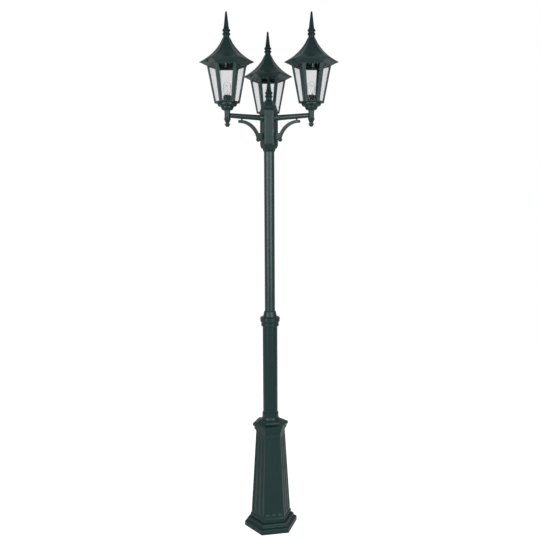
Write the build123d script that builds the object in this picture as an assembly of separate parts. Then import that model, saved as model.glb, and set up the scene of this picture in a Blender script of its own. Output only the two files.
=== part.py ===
from build123d import *
import math
import os

# Triple head lamp post. Millimetres, +Z up, origin on the post's axis at ground level.
# The front is -Y. Hexagons are given by their corner radius, and lie with a flat to the front.

# ---------------------------------------------------------------- driving dimensions

FIT = 0.1                # radial clearance of a tube, shank or plug in its socket
LIFT_GAP = 0.3           # clearance round a piece that lifts out

# Base casting, from the ground up
BASE_TURN = 9.2          # the base stands turned against the head, degrees
FOOT_R = 130.0           # foot flange
FOOT_SIDE = 18.0         # its upright side
FOOT_ROUND = 6.0         # rounded upper edge
FOOT_WALL = 9.0
LEDGE_RISE = 2.5         # fall of the flange's top
FOOT_LEDGE = 11.0        # from the flange's corner in to the cove
COVE_IN = 4.0            # and from there to the stepped plinth above it
COVE_H = 7.0
OVOLO_H = 11.0           # round-shouldered step of the plinth
BAND_OUT = 4.4           # upright band under the body, out from its corner
BAND_SHELF = 3.0
BAND_H = 16.0
BEVEL_H = 5.0
BODY_R = 96.6            # tapered body, bottom
BODY_TOP_R = 70.8        # and top
BODY_H = 410.0
BODY_WALL = 8.0

FLUTES = 3               # on each face
FLUTE_PITCH = 0.315      # centre to centre, share of the face's width
FLUTE_WIDTH = 0.25       # share of the face's width
FLUTE_DEPTH = 3.0
FLUTE_BELOW = 23.0       # from the body's bottom to the flutes' lower centres
FLUTE_ABOVE = 26.0       # from their upper centres to the body's top

NECKING_R = 74.0         # small step under the cap plate
NECKING_H = 8.0
BED_R = 79.5             # bed moulding
BED_H = 14.0
CAP_R = 87.0             # cap plate
CAP_H = 11.0
CAP_RISE = 3.0           # bevel under and over each step
CAP_SLOPE = 5.0
CAP_STEP_R = 62.0        # low hexagon on the plate
CAP_STEP_TOP_R = 58.0
CAP_STEP_H = 8.0
BELL_R = 51.0            # round bell
BELL_H = 20.0

# Poles and their collars
POLE_R = 35.3            # lower pole
POLE_WALL = 3.0
POLE_SEAT = 50.0         # depth of the lower pole's socket in the base
SEAT_SHELF = 9.0
SEAT_LIP = 7.0           # width of the shelf that a pole stands on
RING_WALL = 3.7          # collar ring on the bell
RING_H = 20.0
RING_BEVEL = 2.5
LOWER_POLE_SHOWN = 422.0  # between collar ring and reducer
SLIM_R = 24.0            # upper pole
SLIM_WALL = 2.5
SLIM_SHOWN = 744.0       # between reducer and hub

SOCKET_R = 42.0          # reducer, lower ring
SOCKET_H = 23.0
MAIN_RING_R = 46.5
MAIN_RING_H = 21.0
CONE_R = 33.0            # reducer, cone
CONE_TOP_R = 27.8
CONE_H = 22.0
CONE_LIP = 5.0
SPIGOT_DEPTH = 64.0      # of the reducer inside the lower pole

# Hub
HUB_R = 41.8
HUB_WALL = 6.0
HUB_EDGE = 3.0           # rounding of its upright edges
HUB_COLLAR_R = 29.8
HUB_COLLAR_H = 15.0
HUB_OGEE_R = 35.2
HUB_OGEE_H = 18.0
HUB_H = 147.0            # straight part
HUB_SHOULDER_H = 14.0
HUB_TOP_R = 38.0
HUB_SOCKET = 52.0        # depth of the upper pole's socket
HUB_FLOOR = 6.0
DOME_R = 37.0
DOME_BULGE = (31.2, 19.0)  # corner radius and height on the dome's curve
DOME_TOP_R = 15.0
DOME_H = 40.0
PLUG_H = 8.0             # of the dome in the hub

# Spires, alike on hub and roofs
SPIRE_H = 110.5
SPIRE_NECK_R = 13.7
SPIRE_RING_R = 17.6
SPIRE_RING_H = 9.6
SPIRE_RINGS = (15.0, 30.4)  # heights of the two rings
SPIRE_CONE_R = 12.2
SPIRE_TIP_R = 4.2
SHANK_R = 4.0
SHANK_L = 12.0

# Arms: one to the back, two to the front
ARM_AZIMUTHS = {"back": 90, "left": 210, "right": 330}
ARM_REACH = 214.3
ARM_DROP = 43.0          # arm's axis below the hub's top
ARM_R = 12.4             # at the flange
ARM_END_R = 10.3
ARM_BORE_R = 4.5
FLANGE_R = 17.5
FLANGE_L = 14.0
FLANGE_RIM = 2.5
TAIL_R = 8.0
NUT_FLATS = 24.0
NUT_H = 5.0
SPIGOT_R = 6.0
SPIGOT_L = 7.0

# Scroll bracket under each arm
SCROLL_R = 92.0          # arc's middle line
SCROLL_OUT = 145.5       # arc's centre, from the post's axis
SCROLL_DROP = 114.5      # and below the arm's axis
SCROLL_THICK = 12.0
SCROLL_WIDTH = 15.0
SCROLL_START_ANGLE = 10.0  # ends of the arc, degrees up from its centre's level on the hub's side
SCROLL_END_ANGLE = 95.0
SCROLL_FOOT_DROP = 82.0  # foot's centre below the arm's axis
SCROLL_FOOT_H = 26.0
SCROLL_BALL_R = 9.6      # lower end
SCROLL_BALL_OUT = 3.0    # out from the arc
SCROLL_KNOB_R = 6.7      # upper end
SCROLL_POST_R = 4.0
SCROLL_POST_OUT = 142.0

# Spindle at each arm's end
SPINDLE_R = 13.3
SPINDLE_WAIST_R = 12.4
SPINDLE_BEAD_R = 14.2
SPINDLE_NECK_R = 8.4
SPINDLE_ABOVE = 22.5     # above and below the arm's axis
SPINDLE_BELOW = 36.0
KNOB_COLLAR_R = 13.3
KNOB_COLLAR_H = 3.5
KNOB_R = 9.8
KNOB_H = 14.0
NIPPLE_R = 5.0
NIPPLE_BORE_R = 3.5

# Lantern
PAN_FOOT_R = 21.5
PAN_BOWL_R = 28.0
PAN_BOWL_H = 14.0
PAN_RIM_R = 42.8
PAN_RIM_H = 5.0
PAN_H = 29.0
PAN_WALL = 3.0
CAGE_R = 55.9            # at the bottom
CAGE_TOP_R = 86.7
CAGE_H = 160.0
CAGE_WALL = 3.5
CAGE_FLOOR = 3.0
SILL = 6.5               # rail under each window
TOP_RAIL = 3.5           # rail over it
STILE_LOW = 9.5          # frame beside a window, at the bottom
STILE_HIGH = 12.3        # and at the top
CORNICE_R = 116.0
CORNICE_H = 16.5
CORNICE_LIP = 2.0
CORNICE_SEAT = 10.0      # flat top that the roof rests on
ROOF_R = 119.0
ROOF_EDGE = 3.0
ROOF_H = 81.0            # of the swept part, from eave to kink
ROOF_SWEEP = (60.8, 40.5)  # corner radius and height on the sweep's curve
ROOF_KINK_R = 27.5
ROOF_TOP_R = 16.0
ROOF_TOP_H = 22.0
ROOF_WALL = 3.5
PANE_EDGE = 1.8          # glass under the frame
PANE_RISE = 0.7          # bevel
PANE_BEVEL = 4.6
PANE_LAP = 3.0           # of glass behind the frame
CLIP_W = 5.0             # spring clip on the front pane
CLIP_T = 1.2
CLIP_L = 22.0

HOLDER_R = 16.9
HOLDER_H = 26.0
HOLDER_FLOOR = 5.0
HOLDER_RIBS = 12
HOLDER_GROOVE = 1.2
CAP_SHELL_R = 13.1       # lamp cap
CAP_SHELL_H = 22.0
BULB_R = 16.5
BULB_NECK_R = 12.2
BULB_H = 58.0
BULB_WALL = 0.9

# Ground plate and fixings
PLATE_T = 6.0
PLATE_LUG = (24.0, 10.0, 15.0)  # width, thickness, height
ANCHOR_PCD = 150.0
ANCHOR_R = 5.5
CABLE_R = 15.0
M6_R = 3.0
M6_HEAD_R = 5.0
M6_HEAD_H = 4.0
M6_L = 18.0
GRUB_R = 2.5
THUMB_R = 4.5            # roof screw's head
THUMB_H = 5.0
THUMB_SHANK_R = 2.0
ROOF_SCREW_IN = 4.5      # from the cornice's flat edge to the screw
ROOF_SCREW_AZIMUTHS = (210, 30)
BLOCK = (32.0, 12.0, 16.0)  # terminal block

# ---------------------------------------------------------------- derived places

COS30 = math.cos(math.radians(30))
DIAGONAL = math.sqrt(0.5)                # middle point of a quarter round
FLATS = [30 + 60 * k for k in range(6)]  # azimuths of a hexagon's flats
THIRDS = list(ARM_AZIMUTHS.values())

COVE_R = FOOT_R - FOOT_LEDGE
PLINTH_R = COVE_R - COVE_IN
BAND_R = BODY_R + BAND_OUT
Z_PLINTH = FOOT_SIDE + FOOT_ROUND + LEDGE_RISE
Z_OVOLO = Z_PLINTH + COVE_H
Z_BAND = Z_OVOLO + OVOLO_H
Z_BODY = Z_BAND + BAND_H + BEVEL_H
Z_BODY_TOP = Z_BODY + BODY_H
Z_BED = Z_BODY_TOP + NECKING_H + CAP_RISE
Z_CAP = Z_BED + BED_H + CAP_RISE
Z_CAP_TOP = Z_CAP + CAP_H
Z_BELL = Z_CAP_TOP + CAP_SLOPE + CAP_STEP_H
Z_RING = Z_BELL + BELL_H
Z_POLE = Z_RING - POLE_SEAT
Z_REDUCER = Z_RING + RING_H + LOWER_POLE_SHOWN
Z_MAIN_RING = Z_REDUCER + SOCKET_H
Z_CONE = Z_MAIN_RING + MAIN_RING_H + CAP_RISE
Z_CONE_TOP = Z_CONE + CONE_H + CONE_LIP
Z_POLE_TOP = Z_MAIN_RING + MAIN_RING_H / 2
Z_SLIM = Z_POLE_TOP - SPIGOT_DEPTH + SEAT_SHELF
Z_HUB = Z_CONE_TOP + SLIM_SHOWN
Z_HUB_OGEE = Z_HUB + HUB_COLLAR_H
Z_HUB_SIDE = Z_HUB_OGEE + HUB_OGEE_H
Z_SLIM_TOP = Z_HUB + HUB_SOCKET
Z_CHAMBER = Z_SLIM_TOP + HUB_FLOOR
Z_HUB_TOP = Z_HUB_SIDE + HUB_H + HUB_SHOULDER_H
Z_ARM = Z_HUB_TOP - ARM_DROP
HUB_FLAT = HUB_R * COS30
CHAMBER_FLAT = HUB_FLAT - HUB_WALL
Z_SCROLL = Z_ARM - SCROLL_DROP
Z_SCROLL_FOOT = Z_ARM - SCROLL_FOOT_DROP
Z_PAN = Z_ARM + SPINDLE_ABOVE
Z_KNOB = Z_ARM - SPINDLE_BELOW
Z_CAGE = Z_PAN + PAN_H
Z_CORNICE = Z_CAGE + CAGE_H
Z_ROOF = Z_CORNICE + CORNICE_H
Z_ROOF_KINK = Z_ROOF + ROOF_H
Z_ROOF_TOP = Z_ROOF_KINK + ROOF_TOP_H
Z_NUT = Z_CAGE + CAGE_FLOOR
Z_HOLDER = Z_NUT + NUT_H
Z_HOLDER_TOP = Z_HOLDER + HOLDER_H
Z_LAMP = Z_HOLDER + HOLDER_FLOOR + LIFT_GAP
ROOF_SCREW_OUT = CORNICE_R * COS30 - ROOF_SCREW_IN

CAGE_LEAN = math.atan((CAGE_TOP_R - CAGE_R) * COS30 / CAGE_H)
CAGE_FACE_L = CAGE_H / math.cos(CAGE_LEAN)


# ---------------------------------------------------------------- outline helpers

def edges_through(path):
    """Edges along (r, z) points in the XZ plane. A step of four numbers is an arc via its first two."""
    edges = []
    here = path[0]
    for step in path[1:]:
        there = step[-2:]
        ends = [(here[0], 0, here[1]), (there[0], 0, there[1])]
        if len(step) == 4:
            edges.append(ThreePointArc(ends[0], (step[0], 0, step[1]), ends[1]))
        else:
            edges.append(Line(*ends))
        here = there
    return edges


def turned(path):
    """Solid of revolution about Z of a closed outline."""
    return revolve(make_face(edges_through(path + [path[0]])), Axis.Z, 360)


def hexagonal(path):
    """Mitred hexagonal solid whose corners follow a path of (corner radius, z) from axis to axis."""
    flat = [tuple(v * COS30 if i % 2 == 0 else v for i, v in enumerate(step)) for step in path]
    right = edges_through(flat)
    face = make_face(right + [mirror(edge, Plane.YZ) for edge in right])
    reach = 2 * max(step[-2] for step in path)
    slab = Rot(0, 0, FLATS[0]) * extrude(face, amount=reach, dir=(0, 1, 0), both=True)
    return slab & slab.rotate(Axis.Z, 60) & slab.rotate(Axis.Z, 120)


def tube(outer, inner, low, high):
    return turned([(inner, low), (outer, low), (outer, high), (inner, high)])


def rod(radius, low, high):
    return Pos(0, 0, low) * Cylinder(radius, high - low, align=(Align.CENTER, Align.CENTER, Align.MIN))


def sideways(radius, start, end, z, azimuth):
    """Horizontal rod along an azimuth, from start to end, measured from the axis."""
    bar = rod(radius, start, end)
    return Rot(0, 0, azimuth) * Pos(0, 0, z) * Rot(0, 90, 0) * bar


def hex_bar(across_flats, low, high):
    shape = RegularPolygon(across_flats / 2, 6, major_radius=False)
    return Pos(0, 0, low) * extrude(shape, amount=high - low)


def grub_screws(start, end, z):
    return [sideways(GRUB_R, start, end, z, azimuth) for azimuth in THIRDS]


def grub_holes(start, end, z):
    return [sideways(GRUB_R + FIT, start, end, z, azimuth) for azimuth in THIRDS]


# ---------------------------------------------------------------- base and poles

def flute_cutter():
    """Tapered round-ended cutter for one upright flute, lying along Z with its foot at the origin."""
    radii = []
    for corner in (BODY_R, BODY_TOP_R):
        half = corner * FLUTE_WIDTH / 2
        radii.append((half ** 2 + FLUTE_DEPTH ** 2) / (2 * FLUTE_DEPTH))
    low, high = radii
    length = BODY_H - FLUTE_BELOW - FLUTE_ABOVE
    outline = [
        (0, -low),
        (low * DIAGONAL, -low * DIAGONAL, low, 0),
        (high, length),
        (high * DIAGONAL, length + high * DIAGONAL, 0, length + high),
    ]
    return turned(outline), low, high, length


def flutes():
    cutter, low, high, length = flute_cutter()
    cutters = []
    for azimuth in FLATS:
        for n in range(FLUTES):
            side = (n - (FLUTES - 1) / 2) * FLUTE_PITCH
            ends = []
            for share, radius in ((FLUTE_BELOW / BODY_H, low), (1 - FLUTE_ABOVE / BODY_H, high)):
                corner = BODY_R + (BODY_TOP_R - BODY_R) * share
                out = corner * COS30 + radius - FLUTE_DEPTH
                ends.append(Vector(out, side * corner, Z_BODY + BODY_H * share))
            axis = Plane(origin=ends[0], z_dir=ends[1] - ends[0])
            cutters.append(Rot(0, 0, azimuth) * (axis * cutter))
    return cutters


def base_casting():
    band_foot = BAND_R + BAND_SHELF
    ledge_r = FOOT_R - FOOT_ROUND
    ledge_z = FOOT_SIDE + FOOT_ROUND
    outer = hexagonal([
        (0, 0),
        (FOOT_R, 0),
        (FOOT_R, FOOT_SIDE),
        (ledge_r + FOOT_ROUND * DIAGONAL, FOOT_SIDE + FOOT_ROUND * DIAGONAL, ledge_r, ledge_z),
        (COVE_R, Z_PLINTH),
        ((COVE_R + PLINTH_R) / 2 - 1, Z_PLINTH + COVE_H * 0.35, PLINTH_R, Z_OVOLO),
        ((PLINTH_R + band_foot) / 2 + 3, Z_OVOLO + OVOLO_H * 0.66, band_foot, Z_BAND),
        (BAND_R, Z_BAND),
        (BAND_R, Z_BAND + BAND_H),
        (BODY_R, Z_BODY),
        (BODY_TOP_R, Z_BODY_TOP),
        (NECKING_R, Z_BODY_TOP + CAP_RISE),
        (NECKING_R, Z_BODY_TOP + NECKING_H),
        (BED_R, Z_BED),
        (BED_R, Z_BED + BED_H),
        (CAP_R, Z_CAP),
        (CAP_R, Z_CAP_TOP),
        (CAP_STEP_R, Z_CAP_TOP + CAP_SLOPE),
        (CAP_STEP_TOP_R, Z_BELL),
        (0, Z_BELL),
    ])
    outer -= flutes()
    neck = POLE_R + RING_WALL
    outer += turned([
        (0, Z_BELL - CAP_STEP_H),
        (BELL_R, Z_BELL - CAP_STEP_H),
        (BELL_R, Z_BELL + 1),
        (neck + (BELL_R - neck) * 0.3, Z_BELL + BELL_H * 0.42, neck, Z_RING),
        (0, Z_RING),
    ])
    inner_foot = FOOT_R - FOOT_WALL
    cavity = hexagonal([
        (0, -1),
        (inner_foot, -1),
        (inner_foot, FOOT_SIDE),
        (PLINTH_R - FOOT_WALL, Z_OVOLO),
        (BODY_R - BODY_WALL, Z_BAND),
        (BODY_TOP_R - BODY_WALL, Z_BODY_TOP),
        (BODY_TOP_R - BODY_WALL, Z_POLE - SEAT_SHELF),
        (0, Z_POLE - SEAT_SHELF),
    ])
    outer -= cavity
    outer -= rod(POLE_R + FIT, Z_POLE, Z_RING + 1)
    outer -= rod(POLE_R - SEAT_LIP, Z_POLE - SEAT_SHELF - 1, Z_POLE + 1)
    outer -= [sideways(M6_R + FIT, 0, FOOT_R, FOOT_SIDE / 2, azimuth) for azimuth in THIRDS]
    sink = FOOT_R * COS30 - M6_HEAD_H
    outer -= [sideways(M6_HEAD_R + FIT, sink, FOOT_R, FOOT_SIDE / 2, azimuth) for azimuth in THIRDS]
    return Rot(0, 0, BASE_TURN) * outer


def foot_screws():
    face = FOOT_R * COS30 - 0.5
    screws = []
    for azimuth in THIRDS:
        screw = sideways(M6_HEAD_R, face - M6_HEAD_H + 0.5, face, FOOT_SIDE / 2, azimuth)
        screw += sideways(M6_R, face - M6_HEAD_H - M6_L, face - M6_HEAD_H + 0.5, FOOT_SIDE / 2, azimuth)
        socket = Pos(face, 0, FOOT_SIDE / 2) * Rot(0, 90, 0) * hex_bar(M6_R * 1.67, -2, 1)
        screws.append(Rot(0, 0, BASE_TURN) * (screw - Rot(0, 0, azimuth) * socket))
    return screws


def ground_plate():
    edge = FOOT_R - FOOT_WALL - 1
    plate = hexagonal([(0, 0), (edge, 0), (edge, PLATE_T), (0, PLATE_T)])
    width, thickness, height = PLATE_LUG
    lug = Pos(edge * COS30, 0, 0) * Box(thickness, width, height, align=(Align.MAX, Align.CENTER, Align.MIN))
    plate += [Rot(0, 0, azimuth) * lug for azimuth in THIRDS]
    plate -= [sideways(M6_R + FIT / 2, 0, FOOT_R, FOOT_SIDE / 2, azimuth) for azimuth in THIRDS]
    anchor = Pos(ANCHOR_PCD / 2, 0, 0) * rod(ANCHOR_R, -1, PLATE_T + 1)
    plate -= [Rot(0, 0, azimuth + 60) * anchor for azimuth in THIRDS]
    plate -= rod(CABLE_R, -1, PLATE_T + 1)
    return Rot(0, 0, BASE_TURN) * plate


def collar_ring():
    bore = POLE_R + FIT
    rim = POLE_R + RING_WALL
    ring = turned([
        (bore, Z_RING),
        (rim, Z_RING),
        (rim, Z_RING + RING_H - RING_BEVEL),
        (rim - RING_BEVEL, Z_RING + RING_H),
        (bore, Z_RING + RING_H),
    ])
    return ring - grub_holes(POLE_R - 1, rim + 1, Z_RING + RING_H / 2)


def collar_screws():
    return grub_screws(POLE_R + FIT / 2, POLE_R + RING_WALL, Z_RING + RING_H / 2)


def pole_reducer():
    bore = POLE_R + FIT
    sleeve = POLE_R - POLE_WALL - FIT
    slim = SLIM_R + FIT
    lip = SLIM_R - SLIM_WALL - 2
    z_foot = Z_POLE_TOP - SPIGOT_DEPTH
    ring_top = Z_MAIN_RING + MAIN_RING_H
    body = turned([
        (lip, z_foot),
        (sleeve, z_foot),
        (sleeve, Z_POLE_TOP),
        (bore, Z_POLE_TOP),
        (bore, Z_REDUCER),
        (SOCKET_R - 3, Z_REDUCER),
        (SOCKET_R - 0.9, Z_REDUCER + 1.2, SOCKET_R, Z_REDUCER + 4),
        (SOCKET_R, Z_MAIN_RING - 3),
        (MAIN_RING_R - 1, Z_MAIN_RING),
        (MAIN_RING_R, Z_MAIN_RING + 4),
        (MAIN_RING_R, ring_top - 4),
        (MAIN_RING_R - 1, ring_top - 1, MAIN_RING_R - 3.5, ring_top),
        (CONE_R + 1, Z_CONE - 1),
        (CONE_R, Z_CONE),
        (CONE_TOP_R, Z_CONE + CONE_H),
        (CONE_TOP_R - 1.2, Z_CONE_TOP - 2, slim + 0.6, Z_CONE_TOP),
        (slim, Z_CONE_TOP),
        (slim, Z_SLIM),
        (lip, Z_SLIM),
    ])
    body -= grub_holes(POLE_R - 1, SOCKET_R + 1, Z_REDUCER + SOCKET_H / 2)
    return body - grub_holes(SLIM_R - 1, CONE_R + 1, Z_CONE + CONE_H / 2)


def reducer_screws():
    lower = grub_screws(POLE_R + FIT / 2, SOCKET_R, Z_REDUCER + SOCKET_H / 2)
    face = (CONE_R + CONE_TOP_R) / 2
    return lower + grub_screws(SLIM_R + FIT / 2, face, Z_CONE + CONE_H / 2)


# ---------------------------------------------------------------- hub

def hub_casting():
    body = hexagonal([
        (0, Z_HUB_OGEE),
        (HUB_OGEE_R, Z_HUB_OGEE),
        (HUB_OGEE_R + 4.4, Z_HUB_OGEE + HUB_OGEE_H * 0.55, HUB_R, Z_HUB_SIDE),
        (HUB_R, Z_HUB_TOP - HUB_SHOULDER_H),
        (HUB_R - 0.9, Z_HUB_TOP - HUB_SHOULDER_H / 2, HUB_TOP_R, Z_HUB_TOP),
        (0, Z_HUB_TOP),
    ])
    upright = [edge for edge in body.edges().filter_by(Axis.Z) if edge.length > HUB_H / 2]
    body = fillet(upright, HUB_EDGE)
    bore = SLIM_R + FIT
    body += turned([
        (0, Z_HUB),
        (bore + 1, Z_HUB),
        (HUB_COLLAR_R - 1, Z_HUB + HUB_COLLAR_H * 0.5, HUB_COLLAR_R, Z_HUB + HUB_COLLAR_H * 0.9),
        (HUB_COLLAR_R, Z_HUB_OGEE + 1),
        (0, Z_HUB_OGEE + 1),
    ])
    chamber = CHAMBER_FLAT / COS30
    body -= hexagonal([(0, Z_CHAMBER), (chamber, Z_CHAMBER), (chamber, Z_HUB_TOP + 1), (0, Z_HUB_TOP + 1)])
    body -= rod(bore, Z_HUB - 1, Z_SLIM_TOP)
    body -= rod(SLIM_R - SLIM_WALL - 2, Z_SLIM_TOP - 1, Z_CHAMBER + 1)
    body -= grub_holes(SLIM_R - 1, HUB_R, Z_HUB + HUB_COLLAR_H * 0.7)
    body -= [sideways(TAIL_R + FIT, CHAMBER_FLAT - 1, HUB_R, Z_ARM, azimuth) for azimuth in THIRDS]
    body -= [sideways(GRUB_R + FIT, CHAMBER_FLAT - 1, HUB_R, Z_SCROLL_FOOT, azimuth) for azimuth in THIRDS]
    return body


def hub_screws():
    return grub_screws(SLIM_R + FIT / 2, HUB_COLLAR_R - 1, Z_HUB + HUB_COLLAR_H * 0.7)


def hub_cap():
    plug = CHAMBER_FLAT / COS30 - FIT
    bulge_r, bulge_h = DOME_BULGE
    cap = hexagonal([
        (0, Z_HUB_TOP - PLUG_H),
        (plug, Z_HUB_TOP - PLUG_H),
        (plug, Z_HUB_TOP),
        (DOME_R, Z_HUB_TOP),
        (bulge_r, Z_HUB_TOP + bulge_h, DOME_TOP_R, Z_HUB_TOP + DOME_H - 2),
        (DOME_TOP_R, Z_HUB_TOP + DOME_H),
        (0, Z_HUB_TOP + DOME_H),
    ])
    return cap - rod(SHANK_R + FIT, Z_HUB_TOP + DOME_H - SHANK_L - 1, Z_HUB_TOP + DOME_H + 1)


def terminal_block():
    width, depth, height = BLOCK
    block = Box(width, depth, height, align=(Align.CENTER, Align.MIN, Align.MIN))
    wells = [Pos(width * x, depth / 2, height) * Cylinder(width * 0.09, 6) for x in (-0.3, 0, 0.3)]
    return Pos(0, -CHAMBER_FLAT + 1, Z_CHAMBER) * (block - wells)


def spire(z):
    rings = []
    half = SPIRE_RING_H / 2
    neck = SPIRE_NECK_R
    for height in SPIRE_RINGS:
        rings += [(neck, z + height - half), (SPIRE_RING_R, z + height, neck, z + height + half)]
    flare = SPIRE_RINGS[1] + SPIRE_RING_H
    tip = SPIRE_TIP_R
    tip_z = z + SPIRE_H - tip
    return turned([
        (0, z - SHANK_L),
        (SHANK_R, z - SHANK_L),
        (SHANK_R, z),
        (neck, z),
        *rings,
        (SPIRE_CONE_R, z + flare),
        (SPIRE_CONE_R - 1.6, z + flare + 9),
        (tip, tip_z),
        (tip * DIAGONAL, tip_z + tip * DIAGONAL, 0, z + SPIRE_H),
    ])


# ---------------------------------------------------------------- arms, in the +X direction

def arm_outline():
    """(radius, distance from the post's axis) of the arm's outside, from flange to end."""
    return [
        (FLANGE_R, HUB_FLAT),
        (FLANGE_R, HUB_FLAT + FLANGE_RIM),
        (ARM_R + 1.4, HUB_FLAT + FLANGE_L * 0.6, ARM_R, HUB_FLAT + FLANGE_L),
        (ARM_END_R, ARM_REACH),
    ]


def lay_along_x(solid):
    return Pos(0, 0, Z_ARM) * Rot(0, 90, 0) * solid


def arm():
    tail_end = CHAMBER_FLAT - NUT_H - 1
    outside = arm_outline()
    shoulder = ARM_REACH - SPINDLE_R - FIT
    body = turned([(0, HUB_FLAT), *outside, (0, ARM_REACH)])
    body = lay_along_x(body) - Pos(ARM_REACH, 0, 0) * rod(SPINDLE_R + FIT, Z_KNOB, Z_PAN)
    body += sideways(TAIL_R, tail_end, HUB_FLAT + 1, Z_ARM, 0)
    body += sideways(SPIGOT_R, shoulder - 1, shoulder + SPIGOT_L, Z_ARM, 0)
    return body - sideways(ARM_BORE_R, tail_end - 1, ARM_REACH, Z_ARM, 0)


def arm_nut():
    nut = hex_bar(NUT_FLATS, CHAMBER_FLAT - NUT_H, CHAMBER_FLAT) - rod(TAIL_R + FIT, 0, HUB_FLAT)
    return lay_along_x(nut)


def on_scroll(radius, degrees):
    """(distance from the post's axis, z) of a point on the bracket's arc."""
    angle = math.radians(degrees)
    return SCROLL_OUT - radius * math.cos(angle), Z_SCROLL + radius * math.sin(angle)


def scroll_bracket():
    over = SCROLL_R + SCROLL_THICK / 2
    under = SCROLL_R - SCROLL_THICK / 2
    middle = (SCROLL_START_ANGLE + SCROLL_END_ANGLE) / 2
    outline = edges_through([
        on_scroll(over, SCROLL_START_ANGLE),
        (*on_scroll(over, middle), *on_scroll(over, SCROLL_END_ANGLE)),
        on_scroll(under, SCROLL_END_ANGLE),
        (*on_scroll(under, middle), *on_scroll(under, SCROLL_START_ANGLE)),
        on_scroll(over, SCROLL_START_ANGLE),
    ])
    bar = extrude(make_face(outline), amount=SCROLL_WIDTH / 2, dir=(0, 1, 0), both=True)
    foot_end = SCROLL_OUT - math.sqrt(SCROLL_R ** 2 - (Z_SCROLL_FOOT - Z_SCROLL) ** 2)
    foot = Pos(HUB_FLAT, 0, Z_SCROLL_FOOT) * Box(
        foot_end - HUB_FLAT, SCROLL_WIDTH, SCROLL_FOOT_H, align=(Align.MIN, Align.CENTER, Align.CENTER)
    )
    ball_x, ball_z = on_scroll(SCROLL_R, SCROLL_START_ANGLE)
    ball = Pos(ball_x + SCROLL_BALL_OUT, 0, ball_z) * Sphere(SCROLL_BALL_R)
    knob_x, knob_z = on_scroll(SCROLL_R, SCROLL_END_ANGLE)
    knob = Pos(knob_x, 0, knob_z) * Sphere(SCROLL_KNOB_R)
    post = Pos(SCROLL_POST_OUT, 0, 0) * rod(SCROLL_POST_R, Z_SCROLL + SCROLL_R, Z_ARM)
    body = bar + foot + ball + knob + post
    above = [(r + FIT, x) for r, x in (step[-2:] for step in arm_outline())]
    body -= lay_along_x(turned([(0, HUB_FLAT), *above, (0, ARM_REACH)]))
    return body - sideways(GRUB_R + FIT, 0, HUB_FLAT + 12, Z_SCROLL_FOOT, 0)


def bracket_screw():
    head = sideways(GRUB_R * 1.7, CHAMBER_FLAT - 2.5, CHAMBER_FLAT, Z_SCROLL_FOOT, 0)
    return head + sideways(GRUB_R, CHAMBER_FLAT - 1, HUB_FLAT + 11, Z_SCROLL_FOOT, 0)


def spindle():
    bead = Z_ARM - 16.5
    neck = Z_KNOB + 4
    body = turned([
        (0, Z_KNOB),
        (SPINDLE_NECK_R, Z_KNOB),
        (SPINDLE_NECK_R, neck),
        (SPINDLE_R - 1.4, neck + 8),
        (SPINDLE_R - 0.4, bead - 4.5),
        (SPINDLE_BEAD_R + 0.4, bead, SPINDLE_R - 0.4, bead + 4.5),
        (SPINDLE_WAIST_R, Z_ARM + 2, SPINDLE_R, Z_PAN - 3),
        (SPINDLE_R, Z_PAN),
        (0, Z_PAN),
    ])
    hole_end = ARM_REACH - SPINDLE_R - FIT + SPIGOT_L
    body -= Pos(-ARM_REACH, 0, 0) * sideways(SPIGOT_R + FIT, ARM_REACH - 20, hole_end, Z_ARM, 0)
    body -= rod(NIPPLE_R + FIT, Z_ARM, Z_PAN + 1)
    body -= rod(SHANK_R + FIT, Z_KNOB - 1, Z_KNOB + SHANK_L + 1)
    return Pos(ARM_REACH, 0, 0) * body


def spindle_knob():
    collar = Z_KNOB - KNOB_COLLAR_H
    body = turned([
        (0, Z_KNOB + SHANK_L),
        (SHANK_R, Z_KNOB + SHANK_L),
        (SHANK_R, Z_KNOB),
        (SPINDLE_NECK_R, Z_KNOB),
        (KNOB_COLLAR_R, Z_KNOB - 1),
        (KNOB_COLLAR_R, collar),
        (KNOB_R, collar),
        (KNOB_R * 0.86, Z_KNOB - KNOB_H * 0.75, KNOB_R * 0.45, Z_KNOB - KNOB_H),
        (0, Z_KNOB - KNOB_H),
    ])
    return Pos(ARM_REACH, 0, 0) * body


# ---------------------------------------------------------------- lantern, on its own axis

def nipple():
    return tube(NIPPLE_R, NIPPLE_BORE_R, Z_PAN - SPINDLE_ABOVE / 2, Z_HOLDER + HOLDER_FLOOR - 1)


def lantern_nut():
    return hex_bar(NIPPLE_R * 3.2, Z_NUT, Z_HOLDER) - rod(NIPPLE_R + FIT, Z_NUT - 1, Z_HOLDER + 1)


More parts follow.
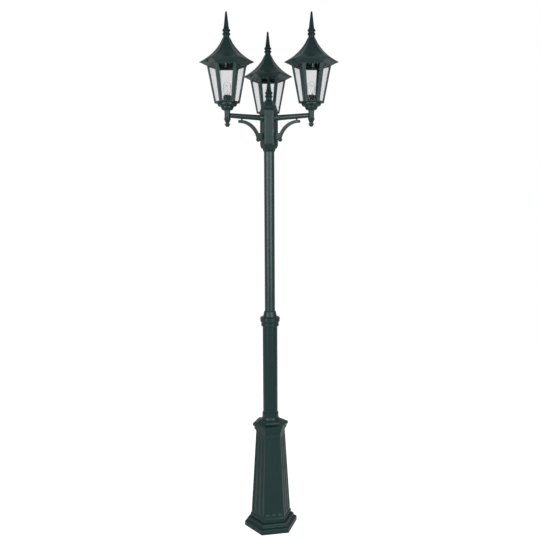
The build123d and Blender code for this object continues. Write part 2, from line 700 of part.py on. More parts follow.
def pan():
    bowl_top = Z_PAN + PAN_BOWL_H
    shelf_r = PAN_BOWL_R + 5
    shelf_z = bowl_top + 1.5
    rim_z = Z_CAGE - PAN_RIM_H
    round_r = shelf_r + (PAN_RIM_R - shelf_r) * DIAGONAL
    round_z = rim_z - (rim_z - shelf_z) * DIAGONAL
    body = turned([
        (0, Z_PAN),
        (PAN_FOOT_R, Z_PAN),
        (PAN_FOOT_R + 4.6, Z_PAN + PAN_BOWL_H * 0.4, PAN_BOWL_R, bowl_top),
        (shelf_r, shelf_z),
        (round_r, round_z, PAN_RIM_R, rim_z),
        (PAN_RIM_R, Z_CAGE - 1),
        (PAN_RIM_R - 1, Z_CAGE),
        (0, Z_CAGE),
    ])
    inside = turned([
        (0, Z_PAN + PAN_WALL),
        (PAN_FOOT_R - PAN_WALL, Z_PAN + PAN_WALL),
        (PAN_BOWL_R - PAN_WALL, bowl_top + PAN_WALL * 0.6),
        (shelf_r - PAN_WALL, shelf_z + PAN_WALL),
        (PAN_RIM_R - PAN_WALL, rim_z),
        (PAN_RIM_R - PAN_WALL, Z_CAGE + 1),
        (0, Z_CAGE + 1),
    ])
    return body - inside - rod(NIPPLE_R + FIT, Z_PAN - 1, Z_CAGE)


def corner_at(height):
    """Corner radius of the cage's outside at a height above its bottom."""
    return CAGE_R + (CAGE_TOP_R - CAGE_R) * height / CAGE_H


def face_plane(inward=0.0):
    """Plane on the cage's leaning +X face: X across, Y up the face, Z outward. Its origin is at the foot."""
    out = Vector(math.cos(CAGE_LEAN), 0, -math.sin(CAGE_LEAN))
    origin = Vector(CAGE_R * COS30, 0, Z_CAGE) - out * inward
    return Plane(origin=origin, x_dir=(0, 1, 0), z_dir=out)


def on_each_face(shape):
    return [Rot(0, 0, azimuth) * shape for azimuth in FLATS]


def window(grow=0.0):
    """(half width, distance up the face) at the foot and head of a window, grown all round."""
    low = SILL
    high = CAGE_H - TOP_RAIL
    up = CAGE_FACE_L / CAGE_H
    foot = corner_at(low) / 2 - STILE_LOW
    head = corner_at(high) / 2 - STILE_HIGH
    return (foot + grow, low * up - grow), (head + grow, high * up + grow)


def window_shape(grow=0.0):
    (foot, low), (head, high) = window(grow)
    return make_face(Polyline((-foot, low), (foot, low), (head, high), (-head, high), (-foot, low)))


def cage():
    seat_in = CORNICE_R - CORNICE_SEAT
    lip = Z_ROOF - CORNICE_LIP
    outer = hexagonal([
        (0, Z_CAGE),
        (CAGE_R, Z_CAGE),
        (CAGE_TOP_R, Z_CORNICE),
        (CORNICE_R, lip),
        (CORNICE_R, Z_ROOF),
        (0, Z_ROOF),
    ])
    wall = CAGE_WALL / math.cos(CAGE_LEAN) / COS30
    inner_foot = corner_at(CAGE_FLOOR) - wall
    outer -= hexagonal([
        (0, Z_CAGE + CAGE_FLOOR),
        (inner_foot, Z_CAGE + CAGE_FLOOR),
        (corner_at(CAGE_H + CAGE_WALL) - wall, Z_CORNICE + CAGE_WALL),
        (seat_in, Z_ROOF),
        (seat_in, Z_ROOF + 1),
        (0, Z_ROOF + 1),
    ])
    outer -= on_each_face(extrude(face_plane() * window_shape(), amount=CAGE_WALL + 2, both=True))
    outer -= rod(NIPPLE_R + FIT, Z_CAGE - 1, Z_CAGE + CAGE_FLOOR + 1)
    for azimuth in ROOF_SCREW_AZIMUTHS:
        hole = Pos(ROOF_SCREW_OUT, 0, 0) * rod(THUMB_SHANK_R + FIT, Z_CORNICE, Z_ROOF + 1)
        seat = Pos(ROOF_SCREW_OUT, 0, 0) * rod(THUMB_R + FIT, Z_CORNICE, Z_ROOF - THUMB_H)
        outer -= Rot(0, 0, azimuth) * (hole + seat)
    return outer


def panes():
    back = face_plane(CAGE_WALL + PANE_EDGE)
    edge = face_plane(CAGE_WALL)
    top = face_plane(CAGE_WALL - PANE_RISE)
    plate = extrude(back * window_shape(PANE_LAP), amount=PANE_EDGE)
    bevel = loft([edge * window_shape(-FIT), top * window_shape(-PANE_BEVEL)], ruled=True)
    return on_each_face(plate + bevel)


def pane_clip():
    """Bent tab on the front pane, which lifts out: one leg on the glass, the other over its top edge."""
    back = CAGE_WALL + PANE_EDGE
    head = window(PANE_LAP)[1][1] + FIT
    leg = Box(CLIP_W, CLIP_L, CLIP_T, align=(Align.CENTER, Align.MAX, Align.MAX))
    foot = Box(CLIP_W, CLIP_T, PANE_EDGE + CLIP_T, align=(Align.CENTER, Align.MIN, Align.MIN))
    tab = Pos(0, head, -back) * leg + Pos(0, head, -back - CLIP_T) * foot
    return Rot(0, 0, -90) * (face_plane() * tab)


def lampholder():
    body = tube(HOLDER_R, CAP_SHELL_R + LIFT_GAP, Z_HOLDER, Z_HOLDER_TOP)
    body += tube(HOLDER_R, NIPPLE_R + FIT, Z_HOLDER, Z_HOLDER + HOLDER_FLOOR)
    rim = body.edges().filter_by(GeomType.CIRCLE).group_by(Axis.Z)[-1].sort_by(SortBy.RADIUS)[-1]
    body = chamfer(rim, 1.5)
    groove = Pos(HOLDER_R, 0, Z_HOLDER + HOLDER_H * 0.45) * Box(HOLDER_GROOVE, HOLDER_GROOVE, HOLDER_H * 0.7)
    body -= [Rot(0, 0, 360 / HOLDER_RIBS * n) * groove for n in range(HOLDER_RIBS)]
    return body


def bulb_cap():
    contact = CAP_SHELL_R * 0.4
    skirt = CAP_SHELL_R - 1
    return turned([
        (0, Z_LAMP),
        (contact, Z_LAMP),
        (CAP_SHELL_R * 0.7, Z_LAMP + 3),
        (CAP_SHELL_R, Z_LAMP + 6),
        (CAP_SHELL_R, Z_LAMP + CAP_SHELL_H),
        (skirt, Z_LAMP + CAP_SHELL_H),
        (skirt, Z_LAMP + 7),
        (0, Z_LAMP + 7),
    ])


def bulb_glass():
    low = Z_LAMP + CAP_SHELL_H
    wall = BULB_WALL
    neck = BULB_NECK_R
    dome_z = low + BULB_H - BULB_R
    widest = low + BULB_H * 0.48
    belly_z = low + BULB_H * 0.3
    inner = BULB_R - wall
    return turned([
        (neck - wall, low),
        (CAP_SHELL_R, low),
        (neck, low + 1),
        (neck + 1.2, low + 8),
        (BULB_R - 0.8, belly_z, BULB_R, widest),
        (BULB_R, dome_z),
        (BULB_R * DIAGONAL, dome_z + BULB_R * DIAGONAL, 0, low + BULB_H),
        (0, low + BULB_H - wall),
        (inner * DIAGONAL, dome_z + inner * DIAGONAL, inner, dome_z),
        (inner, widest),
        (inner - 0.8, belly_z, neck + 1.2 - wall, low + 8),
    ])


def roof():
    sweep_r, sweep_h = ROOF_SWEEP
    outer = hexagonal([
        (0, Z_ROOF - CORNICE_LIP),
        (ROOF_R, Z_ROOF - CORNICE_LIP),
        (ROOF_R, Z_ROOF - CORNICE_LIP + ROOF_EDGE),
        (sweep_r, Z_ROOF + sweep_h, ROOF_KINK_R, Z_ROOF_KINK),
        (ROOF_TOP_R, Z_ROOF_TOP),
        (0, Z_ROOF_TOP),
    ])
    recess = CORNICE_R + LIFT_GAP
    slant = ROOF_WALL * 0.7
    outer -= hexagonal([
        (0, Z_ROOF - CORNICE_LIP - 1),
        (recess, Z_ROOF - CORNICE_LIP - 1),
        (recess, Z_ROOF),
        (ROOF_R - ROOF_WALL * 1.4, Z_ROOF),
        (sweep_r - slant, Z_ROOF + sweep_h - slant, ROOF_KINK_R - slant, Z_ROOF_KINK - slant),
        (0, Z_ROOF_KINK - slant),
    ])
    outer -= rod(SHANK_R + FIT, Z_ROOF_KINK - ROOF_WALL * 2, Z_ROOF_TOP + 1)
    for azimuth in ROOF_SCREW_AZIMUTHS:
        boss = Pos(ROOF_SCREW_OUT, 0, 0) * rod(THUMB_R, Z_ROOF, Z_ROOF + ROOF_EDGE)
        hole = Pos(ROOF_SCREW_OUT, 0, 0) * rod(THUMB_SHANK_R + LIFT_GAP, Z_ROOF - 1, Z_ROOF + ROOF_EDGE)
        outer += Rot(0, 0, azimuth) * boss
        outer -= Rot(0, 0, azimuth) * hole
    return outer


def roof_screws():
    screws = []
    for azimuth in ROOF_SCREW_AZIMUTHS:
        head = rod(THUMB_R, Z_ROOF - THUMB_H * 2, Z_ROOF - THUMB_H)
        shank = rod(THUMB_SHANK_R, Z_ROOF - THUMB_H, Z_ROOF + ROOF_EDGE - LIFT_GAP)
        screws.append(Rot(0, 0, azimuth) * Pos(ROOF_SCREW_OUT, 0, 0) * (head + shank))
    return screws


# ---------------------------------------------------------------- assembly

def place_lantern(azimuth, shape):
    angle = math.radians(azimuth)
    return Pos(ARM_REACH * math.cos(angle), ARM_REACH * math.sin(angle), 0) * shape


def assemble():
    nodes = {
        "ground_plate": ground_plate(),
        "foot_screws": foot_screws(),
        "base_casting": base_casting(),
        "collar_ring": collar_ring(),
        "collar_screws": collar_screws(),
        "lower_pole": tube(POLE_R, POLE_R - POLE_WALL, Z_POLE, Z_POLE_TOP),
        "pole_reducer": pole_reducer(),
        "reducer_screws": reducer_screws(),
        "upper_pole": tube(SLIM_R, SLIM_R - SLIM_WALL, Z_SLIM, Z_SLIM_TOP),
        "hub_casting": hub_casting(),
        "hub_screws": hub_screws(),
        "hub_cap": hub_cap(),
        "hub_spire": spire(Z_HUB_TOP + DOME_H),
        "terminal_block": terminal_block(),
    }
    on_arm = {
        "arm": arm(),
        "scroll_bracket": scroll_bracket(),
        "spindle": spindle(),
        "spindle_knob": spindle_knob(),
    }
    in_lantern = {
        "pan": pan(),
        "cage": cage(),
        "panes": panes(),
        "pane_clip": pane_clip(),
        "lampholder": lampholder(),
        "bulb_cap": bulb_cap(),
        "bulb_glass": bulb_glass(),
        "roof": roof(),
        "roof_spire": spire(Z_ROOF_TOP),
    }
    for side, azimuth in ARM_AZIMUTHS.items():
        for name, shape in on_arm.items():
            nodes[f"{name}_{side}"] = Rot(0, 0, azimuth) * shape
        for name, shape in in_lantern.items():
            group = shape if isinstance(shape, list) else [shape]
            nodes[f"{name}_{side}"] = [place_lantern(azimuth, one) for one in group]
    nodes["arm_nuts"] = [Rot(0, 0, azimuth) * arm_nut() for azimuth in THIRDS]
    nodes["bracket_screws"] = [Rot(0, 0, azimuth) * bracket_screw() for azimuth in THIRDS]
    nodes["lantern_nipples"] = [place_lantern(azimuth, nipple()) for azimuth in THIRDS]
    nodes["lantern_nuts"] = [place_lantern(azimuth, lantern_nut()) for azimuth in THIRDS]
    nodes["roof_screws"] = [place_lantern(azimuth, one) for azimuth in THIRDS for one in roof_screws()]
    return nodes


os.makedirs("parts", exist_ok=True)
for node, shape in assemble().items():
    solids = [one for part in (shape if isinstance(shape, list) else [shape]) for one in part.solids()]
    export_step(solids[0] if len(solids) == 1 else Compound(children=solids), f"parts/{node}.step")
    print(node, len(solids))
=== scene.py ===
"""Looks of the triple head lamp post: its finishes, the lamps' insides, the studio and the camera.

Lengths are in metres, bearings, pitch and roll in degrees, and noise scales per metre.
"""

import math

import bmesh
import bpy
from mathutils import Matrix, Vector


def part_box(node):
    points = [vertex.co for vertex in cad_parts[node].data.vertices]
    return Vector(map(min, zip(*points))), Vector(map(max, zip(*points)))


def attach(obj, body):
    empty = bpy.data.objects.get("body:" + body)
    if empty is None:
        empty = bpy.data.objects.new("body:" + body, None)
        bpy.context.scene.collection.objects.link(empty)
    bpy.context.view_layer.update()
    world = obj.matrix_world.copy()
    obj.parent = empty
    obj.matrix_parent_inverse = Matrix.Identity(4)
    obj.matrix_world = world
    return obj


SIDES = ("back", "left", "right")


def on_each_side(*names):
    return [f"{name}_{side}" for name in names for side in SIDES]


# ---------------------------------------------------------------- camera

CAMERA_DISTANCE = 2.869  # from the pole's axis
CAMERA_HEIGHT = 1.583
CAMERA_LENS = 40.74      # millimetres, on a sensor SENSOR_WIDTH wide
SENSOR_WIDTH = 36.0
CAMERA_PITCH = 6.47      # looking down
CAMERA_BEARING = 1.06    # stands this far to the left of the front
CAMERA_YAW = 0.026       # and looks this far to the right of the axis
CAMERA_ROLL = 0.296
CAMERA_CLIP = 0.05

# ---------------------------------------------------------------- studio light

SOFTBOX_DISTANCE = 2.6   # from the pole's axis
SOFTBOX_SIZE = (0.55, 2.1)
SOFTBOX_MIDDLE = 1.75    # height
SOFTBOXES = {            # bearing off the camera, watts
    "softbox_left": (-43.0, 28.0),
    "softbox_right": (36.0, 28.0),
}

# How bright the surroundings are to the object, by where they are
LIGHT_TINT = (0.92, 1.0, 1.0, 1.0)
FRONT_LOW = 0.08         # in front, below eye level
FRONT_BAND = 2.8         # in front, from eye level up a little
SURROUND_LEFT = 0.60     # round the sides and the back
SURROUND_RIGHT = 0.35
OVERHEAD = 0.40

# Where one brightness gives way to the next, on an axis of the direction's unit vector
EYE_LEVEL = (-0.06, 0.06)      # Z, FRONT_LOW to FRONT_BAND
LEFT_TO_RIGHT = (-0.30, 0.30)  # X, SURROUND_LEFT to SURROUND_RIGHT
FRONT_TO_SIDES = (-0.60, -0.25)  # Y, the front's to the surround's
UPWARDS = (0.22, 0.45)         # Z, all these to OVERHEAD

FLOOR_RADIUS = 5.0
FLOOR_CORNERS = 96
FLOOR_DROP = 0.0004      # below the foot
FLOOR_GREY = 0.62
FLOOR_SEEN = 0.80        # what the floor adds to its own light where the camera sees it
FLOOR_GLOW = (0.10, 0.35)  # and to the light on the post, in front of it and behind it
FLOOR_TURNOVER = (-0.3, 0.1)  # Y where the one gives way to the other

# ---------------------------------------------------------------- finishes

PAINT = (0.0034, 0.0172, 0.0162)
PAINT_WORN = (0.0050, 0.0198, 0.0188)
PAINT_SHEEN = (0.90, 1.0, 0.98)
PAINT_PATCHES = 14.0     # noise scale of the two tones
PAINT_FILM = 45.0        # and of the gloss
PAINT_ROUGHNESS = (0.30, 0.38)
PAINT_RELIEF = 0.35
NOISE_SPAN = (0.35, 0.65)  # values that noise mostly has

# Surface under the paint: noise scale and depth
CAST_SKIN = (700.0, 0.00012)
TUBE_SKIN = (260.0, 0.00006)
PLATE_SKIN = (500.0, 0.0001)

PAINTED = {  # pieces, surface, radius that edges are shaded with, gloss, and painted light and shade: how much lighter or darker the same paint is made on them
    # The last number paints light and shade onto one and the same paint: the cages are painted
    # lighter, as if lit, the spires darker, as if shaded, and the base and the lower pole a little
    # lighter.
    "paint_on_base": (["base_casting", "collar_ring"], CAST_SKIN, 0.0011, 0.34, 1.04),
    "paint_on_castings": (
        ["pole_reducer", "hub_cap"]
        + on_each_side("scroll_bracket", "spindle", "spindle_knob", "pan"),
        CAST_SKIN, 0.0011, 0.36, 1.0),
    "paint_on_roofs": (on_each_side("roof"), CAST_SKIN, 0.0011, 0.28, 1.0),
    "paint_on_spires": (["hub_spire"] + on_each_side("roof_spire"), CAST_SKIN, 0.0011, 0.20, 0.85),
    "paint_on_hub": (["hub_casting"], CAST_SKIN, 0.013, 0.40, 1.0),
    "paint_on_cages": (on_each_side("cage"), CAST_SKIN, 0.0065, 0.60, 1.15),
    "paint_on_lower_pole": (["lower_pole"], TUBE_SKIN, 0.0006, 0.30, 1.06),
    "paint_on_tubes": (["upper_pole"] + on_each_side("arm"), TUBE_SKIN, 0.0006, 0.50, 1.0),
    "primer": (["ground_plate"], PLATE_SKIN, 0.0008, 0.26, 1.0),
}

METALS = {  # pieces, colour, roughness
    "blackened_steel": (
        ["foot_screws", "collar_screws", "reducer_screws", "hub_screws", "roof_screws"],
        (0.03, 0.045, 0.045), 0.35),
    "zinc_plate": (
        ["arm_nuts", "bracket_screws", "lantern_nipples", "lantern_nuts"],
        (0.55, 0.56, 0.57), 0.30),
    "spring_steel": (on_each_side("pane_clip"), (0.10, 0.125, 0.125), 0.40),
    "lamp_cap_metal": (on_each_side("bulb_cap"), (0.72, 0.70, 0.66), 0.22),
}

MOULDINGS = {  # pieces, colour, roughness
    "black_phenolic": (on_each_side("lampholder"), (0.005, 0.014, 0.013), 0.45),
    "white_porcelain": (["terminal_block"], (0.75, 0.74, 0.70), 0.2),
}

GLASSES = {  # pieces, tint, refractive index, gloss, depth of the waves
    "bevelled_glass": (on_each_side("panes"), (0.838, 0.845, 0.850), 1.2, 1.0, 0.0004),
    "bulb_glass": (on_each_side("bulb_glass"), (0.985, 0.985, 0.985), 1.16, 0.8, 0.0001),
}

# ---------------------------------------------------------------- inside the lamps

# Heights count from the glass's lower edge
STEM = [  # radius and height, from the axis round to the axis
    (0, 0), (0.0095, 0), (0.0090, 0.003), (0.0062, 0.008), (0.0042, 0.014),
    (0.0034, 0.021), (0.0038, 0.025), (0.0030, 0.0275), (0, 0.0285),
]
STEM_STEPS = 24
WIRE_R = 0.0003
WIRE_FOOT = (0.0018, 0.0235)  # where a support wire starts inside the stem, out and up
WIRE_KNEE = (0.0022, 0.0305)  # where it bends outwards
WIRE_SPREAD = 0.0075
WIRE_TOP = 0.040
FILAMENT_R = 0.00013     # of its wire
FILAMENT_COIL = 0.0006   # and of its turns
FILAMENT_TURNS = 22
FILAMENT_STEPS = 10      # points on each turn
FILAMENT_BOW = 0.0015
LAMP_TURN = math.radians(25)


# ---------------------------------------------------------------- materials

def new_material(name):
    material = bpy.data.materials.new(name)
    material.use_nodes = True
    tree = material.node_tree
    return material, tree, tree.nodes["Principled BSDF"]


def add(tree, kind, **values):
    """A shader node with its inputs set by name."""
    node = tree.nodes.new(kind)
    for key, value in values.items():
        node.inputs[key.replace("_", " ")].default_value = value
    return node


def place_noise(tree, scale, detail=2.0, roughness=0.5):
    """Noise fixed to the piece."""
    where = tree.nodes.new("ShaderNodeTexCoord")
    noise = add(tree, "ShaderNodeTexNoise", Scale=scale, Detail=detail, Roughness=roughness)
    tree.links.new(where.outputs["Object"], noise.inputs["Vector"])
    return noise


def spread(tree, source, low, high, span=NOISE_SPAN):
    """Maps the values in a span onto low to high."""
    start, end = span
    node = add(tree, "ShaderNodeMapRange", From_Min=start, From_Max=end, To_Min=low, To_Max=high)
    tree.links.new(source, node.inputs["Value"])
    return node.outputs["Result"]


def blend_colours(tree, factor, first, second):
    node = tree.nodes.new("ShaderNodeMix")
    node.data_type = "RGBA"
    node.inputs["A"].default_value = (*first, 1)
    node.inputs["B"].default_value = (*second, 1)
    tree.links.new(factor, node.inputs["Factor"])
    return node.outputs["Result"]


def rounded_normal(tree, radius):
    """Shades sharp edges as if they were rounded off to a radius."""
    node = tree.nodes.new("ShaderNodeBevel")
    node.samples = 6
    node.inputs["Radius"].default_value = radius
    return node.outputs["Normal"]


def bumped(tree, height, distance, strength, normal=None):
    bump = add(tree, "ShaderNodeBump", Strength=strength, Distance=distance)
    tree.links.new(height, bump.inputs["Height"])
    if normal:
        tree.links.new(normal, bump.inputs["Normal"])
    return bump.outputs["Normal"]


def seen_directly(tree):
    """1 for what the camera sees, also through glass, and 0 for light on its way to a surface."""
    path = tree.nodes.new("ShaderNodeLightPath")
    either = tree.nodes.new("ShaderNodeMath")
    either.operation = "MAXIMUM"
    tree.links.new(path.outputs["Is Camera Ray"], either.inputs[0])
    tree.links.new(path.outputs["Is Transmission Ray"], either.inputs[1])
    return either.outputs["Value"]


def paint(name, skin, edge, gloss, painted_light_level):
    """Dark green-black enamel over metal, in two slightly different tones, both made lighter or
    darker by a factor that paints light and shade into the colour.
    """
    material, tree, shader = new_material(name)
    patches = place_noise(tree, PAINT_PATCHES, 3.0)
    # Painted light and shade: both tones are scaled lighter or darker for each material.
    fresh, worn = ([part * painted_light_level for part in colour] for colour in (PAINT, PAINT_WORN))
    tone = blend_colours(tree, patches.outputs["Fac"], fresh, worn)
    tree.links.new(tone, shader.inputs["Base Color"])
    film = place_noise(tree, PAINT_FILM, 4.0, 0.6)
    tree.links.new(spread(tree, film.outputs["Fac"], *PAINT_ROUGHNESS), shader.inputs["Roughness"])
    shader.inputs["Specular IOR Level"].default_value = gloss
    shader.inputs["Specular Tint"].default_value = (*PAINT_SHEEN, 1)
    normal = rounded_normal(tree, edge)
    scale, depth = skin
    grain = place_noise(tree, scale, 3.0, 0.55)
    normal = bumped(tree, grain.outputs["Fac"], depth, PAINT_RELIEF, normal)
    tree.links.new(normal, shader.inputs["Normal"])
    return material


def bare_metal(name, colour, roughness):
    """Plated or rolled metal, with fine streaks in its gloss."""
    material, tree, shader = new_material(name)
    shader.inputs["Base Color"].default_value = (*colour, 1)
    shader.inputs["Metallic"].default_value = 1.0
    streaks = place_noise(tree, 600.0, 3.0).outputs["Fac"]
    tree.links.new(spread(tree, streaks, roughness, roughness + 0.12), shader.inputs["Roughness"])
    tree.links.new(bumped(tree, streaks, 0.00004, 0.3), shader.inputs["Normal"])
    return material


def moulded(name, colour, roughness):
    """Moulded plastic, glazed porcelain or a solid glass stem."""
    material, tree, shader = new_material(name)
    shader.inputs["Base Color"].default_value = (*colour, 1)
    skin = place_noise(tree, 900.0, 2.0).outputs["Fac"]
    tree.links.new(spread(tree, skin, roughness, roughness + 0.08), shader.inputs["Roughness"])
    tree.links.new(bumped(tree, skin, 0.00003, 0.25), shader.inputs["Normal"])
    return material


def glass(name, tint, ior, gloss, waviness):
    """Clear glass that lets light straight through, with faint waves in its gloss."""
    material, tree, shader = new_material(name)
    shader.inputs["Base Color"].default_value = (*tint, 1)
    shader.inputs["Roughness"].default_value = 0.0
    shader.inputs["IOR"].default_value = ior
    shader.inputs["Specular IOR Level"].default_value = gloss
    shader.inputs["Transmission Weight"].default_value = 1.0
    waves = place_noise(tree, 9.0, 1.0)
    tree.links.new(bumped(tree, waves.outputs["Fac"], waviness, 0.1), shader.inputs["Normal"])
    one_face = [math.sqrt(part) for part in tint]
    through = add(tree, "ShaderNodeBsdfTransparent", Color=(*one_face, 1))
    path = tree.nodes.new("ShaderNodeLightPath")
    choose = tree.nodes.new("ShaderNodeMixShader")
    tree.links.new(path.outputs["Is Shadow Ray"], choose.inputs["Fac"])
    tree.links.new(shader.outputs["BSDF"], choose.inputs[1])
    tree.links.new(through.outputs["BSDF"], choose.inputs[2])
    out = tree.nodes["Material Output"]
    tree.links.new(choose.outputs["Shader"], out.inputs["Surface"])
    return material


def dress(nodes):
    """Gives each CAD node its finish."""
    finishes = ((PAINTED, paint), (METALS, bare_metal), (MOULDINGS, moulded), (GLASSES, glass))
    for table, make in finishes:
        for title, (names, *settings) in table.items():
            material = make(title, *settings)
            for name in names:
                slots = nodes[name].material_slots
                for entry in slots:
                    entry.material = material
                if not slots:
                    nodes[name].data.materials.append(material)


# ---------------------------------------------------------------- lamps

def lathe(name, outline, steps):
    """Mesh turned about Z from (radius, height) points that start and end on the axis."""
    form = bmesh.new()
    points = [form.verts.new((radius, 0, height)) for radius, height in outline]
    edges = [form.edges.new(pair) for pair in zip(points, points[1:])]
    bmesh.ops.spin(form, geom=points + edges, cent=(0, 0, 0), axis=(0, 0, 1),
                   angle=2 * math.pi, steps=steps)
    bmesh.ops.remove_doubles(form, verts=form.verts, dist=1e-6)
    bmesh.ops.recalc_face_normals(form, faces=form.faces)
    for face in form.faces:
        face.smooth = True
    mesh = bpy.data.meshes.new(name)
    form.to_mesh(mesh)
    form.free()
    return bpy.data.objects.new(name, mesh)


def wire(name, lines, radius):
    """Round wire along each list of points."""
    curve = bpy.data.curves.new(name, "CURVE")
    curve.dimensions = "3D"
    curve.bevel_depth = radius
    curve.bevel_resolution = 1
    curve.use_fill_caps = True
    for points in lines:
        spline = curve.splines.new("POLY")
        spline.points.add(len(points) - 1)
        for entry, point in zip(spline.points, points):
            entry.co = (*point, 1)
    return bpy.data.objects.new(name, curve)


def support_points(end):
    """Support wire from the stem to one end of the filament, -1 or 1."""
    return [(end * WIRE_FOOT[0], 0, WIRE_FOOT[1]), (end * WIRE_KNEE[0], 0, WIRE_KNEE[1]),
            (end * WIRE_SPREAD, 0, WIRE_TOP)]


def filament_points():
    """Fine coil between the tips of the two support wires, bowed upwards."""
    points = []
    count = FILAMENT_TURNS * FILAMENT_STEPS
    for k in range(count + 1):
        along = k / count
        turn = 2 * math.pi * FILAMENT_TURNS * along
        x = WIRE_SPREAD * (2 * along - 1)
        rise = WIRE_TOP + FILAMENT_BOW * math.sin(math.pi * along)
        points.append((x, FILAMENT_COIL * math.cos(turn), rise + FILAMENT_COIL * math.sin(turn)))
    return points


def light_insides():
    """Stem, support wires and filament of each lamp, on the lamp's body."""
    stem_glass = moulded("stem_glass", (0.80, 0.81, 0.80), 0.12)
    nickel = bare_metal("nickel_wire", (0.45, 0.44, 0.42), 0.30)
    tungsten = bare_metal("tungsten", (0.20, 0.19, 0.18), 0.35)
    supports = [support_points(end) for end in (-1, 1)]
    for side in SIDES:
        low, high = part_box(f"bulb_glass_{side}")
        foot = ((low[0] + high[0]) / 2, (low[1] + high[1]) / 2, low[2])
        made = [
            (lathe(f"lamp_stem_{side}", STEM, STEM_STEPS), stem_glass),
            (wire(f"lamp_wires_{side}", supports, WIRE_R), nickel),
            (wire(f"lamp_filament_{side}", [filament_points()], FILAMENT_R), tungsten),
        ]
        for piece, material in made:
            piece.data.materials.append(material)
            bpy.context.scene.collection.objects.link(piece)
            piece.location = foot
            piece.rotation_euler.z = LAMP_TURN
            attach(piece, f"bulb_{side}")


# ---------------------------------------------------------------- studio

def fade(tree, source, span, low, high):
    """Smooth change from low to high, each a number or a socket, over a span of the source."""
    node = add(tree, "ShaderNodeMapRange", From_Min=span[0], From_Max=span[1])
    node.interpolation_type = "SMOOTHSTEP"
    tree.links.new(source, node.inputs["Value"])
    for socket, value in (("To Min", low), ("To Max", high)):
        if isinstance(value, float):
            node.inputs[socket].default_value = value
        else:
            tree.links.new(value, node.inputs[socket])
    return node.outputs["Result"]


def studio_world():
    """White to the camera and through glass, and to the object as bright as the constants say."""
    world = bpy.data.worlds.new("studio")
    bpy.context.scene.world = world
    world.use_nodes = True
    tree = world.node_tree
    tree.nodes.clear()
    where = tree.nodes.new("ShaderNodeTexCoord")
    axes = tree.nodes.new("ShaderNodeSeparateXYZ")
    tree.links.new(where.outputs["Generated"], axes.inputs["Vector"])
    x, y, z = (axes.outputs[axis] for axis in "XYZ")
    front = fade(tree, z, EYE_LEVEL, FRONT_LOW, FRONT_BAND)
    surround = fade(tree, x, LEFT_TO_RIGHT, SURROUND_LEFT, SURROUND_RIGHT)
    level = fade(tree, y, FRONT_TO_SIDES, front, surround)
    level = fade(tree, z, UPWARDS, level, OVERHEAD)
    light = add(tree, "ShaderNodeBackground", Color=LIGHT_TINT)
    tree.links.new(level, light.inputs["Strength"])
    white = add(tree, "ShaderNodeBackground", Color=(1, 1, 1, 1), Strength=1.0)
    choose = tree.nodes.new("ShaderNodeMixShader")
    tree.links.new(seen_directly(tree), choose.inputs["Fac"])
    tree.links.new(light.outputs["Background"], choose.inputs[1])
    tree.links.new(white.outputs["Background"], choose.inputs[2])
    out = tree.nodes.new("ShaderNodeOutputWorld")
    tree.links.new(choose.outputs["Shader"], out.inputs["Surface"])


def floor():
    """Round white floor that keeps a faint shadow of the post."""
    turns = [2 * math.pi * k / FLOOR_CORNERS for k in range(FLOOR_CORNERS)]
    rim = [(FLOOR_RADIUS * math.cos(turn), FLOOR_RADIUS * math.sin(turn), 0) for turn in turns]
    mesh = bpy.data.meshes.new("floor")
    mesh.from_pydata(rim, [], [tuple(range(FLOOR_CORNERS))])
    plane = bpy.data.objects.new("floor", mesh)
    bpy.context.scene.collection.objects.link(plane)
    plane.location.z = -FLOOR_DROP
    material, tree, shader = new_material("white_floor")
    shader.inputs["Base Color"].default_value = (FLOOR_GREY, FLOOR_GREY, FLOOR_GREY, 1)
    shader.inputs["Roughness"].default_value = 0.9
    shader.inputs["Specular IOR Level"].default_value = 0.0
    shader.inputs["Emission Color"].default_value = (1, 1, 1, 1)
    where = tree.nodes.new("ShaderNodeTexCoord")
    axes = tree.nodes.new("ShaderNodeSeparateXYZ")
    tree.links.new(where.outputs["Object"], axes.inputs["Vector"])
    glow = spread(tree, axes.outputs["Y"], *FLOOR_GLOW, FLOOR_TURNOVER)
    choose = add(tree, "ShaderNodeMapRange", To_Max=FLOOR_SEEN)
    tree.links.new(glow, choose.inputs["To Min"])
    tree.links.new(seen_directly(tree), choose.inputs["Value"])
    tree.links.new(choose.outputs["Result"], shader.inputs["Emission Strength"])
    mesh.materials.append(material)


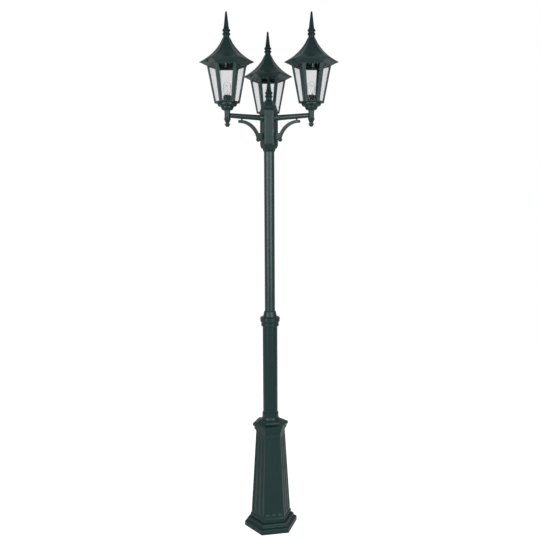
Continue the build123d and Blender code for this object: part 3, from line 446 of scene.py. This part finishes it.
def softboxes():
    """Two upright panels in front of the post, one on each side of the camera."""
    for name, (bearing, watts) in SOFTBOXES.items():
        angle = math.radians(bearing - CAMERA_BEARING)
        lamp = bpy.data.lights.new(name, "AREA")
        lamp.shape = "RECTANGLE"
        lamp.size, lamp.size_y = SOFTBOX_SIZE
        lamp.energy = watts
        box = bpy.data.objects.new(name, lamp)
        bpy.context.scene.collection.objects.link(box)
        place = Vector((math.sin(angle), -math.cos(angle), 0)) * SOFTBOX_DISTANCE
        box.location = place + Vector((0, 0, SOFTBOX_MIDDLE))
        box.rotation_euler = (-place).to_track_quat("-Z", "Y").to_euler()


def camera():
    bearing = math.radians(CAMERA_BEARING)
    data = bpy.data.cameras.new("camera")
    data.lens = CAMERA_LENS
    data.sensor_width = SENSOR_WIDTH
    data.clip_start = CAMERA_CLIP
    eye = bpy.data.objects.new("camera", data)
    bpy.context.scene.collection.objects.link(eye)
    place = Vector((-math.sin(bearing), -math.cos(bearing), 0)) * CAMERA_DISTANCE
    turn = Matrix.Rotation(-bearing - math.radians(CAMERA_YAW), 4, "Z")
    tilt = Matrix.Rotation(math.radians(90 - CAMERA_PITCH), 4, "X")
    roll = Matrix.Rotation(-math.radians(CAMERA_ROLL), 4, "Z")
    place += Vector((0, 0, CAMERA_HEIGHT))
    eye.matrix_world = Matrix.Translation(place) @ turn @ tilt @ roll
    bpy.context.scene.camera = eye


# ---------------------------------------------------------------- the scene

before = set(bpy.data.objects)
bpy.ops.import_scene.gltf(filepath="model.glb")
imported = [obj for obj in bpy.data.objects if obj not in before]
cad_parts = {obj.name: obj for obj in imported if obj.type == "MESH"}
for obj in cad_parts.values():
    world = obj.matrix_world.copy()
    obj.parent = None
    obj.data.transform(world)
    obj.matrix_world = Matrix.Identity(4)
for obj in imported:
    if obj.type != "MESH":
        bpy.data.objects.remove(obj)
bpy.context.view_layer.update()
bpy.context.scene.view_settings.view_transform = "Standard"
dress(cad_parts)
light_insides()
studio_world()
floor()
softboxes()
camera()
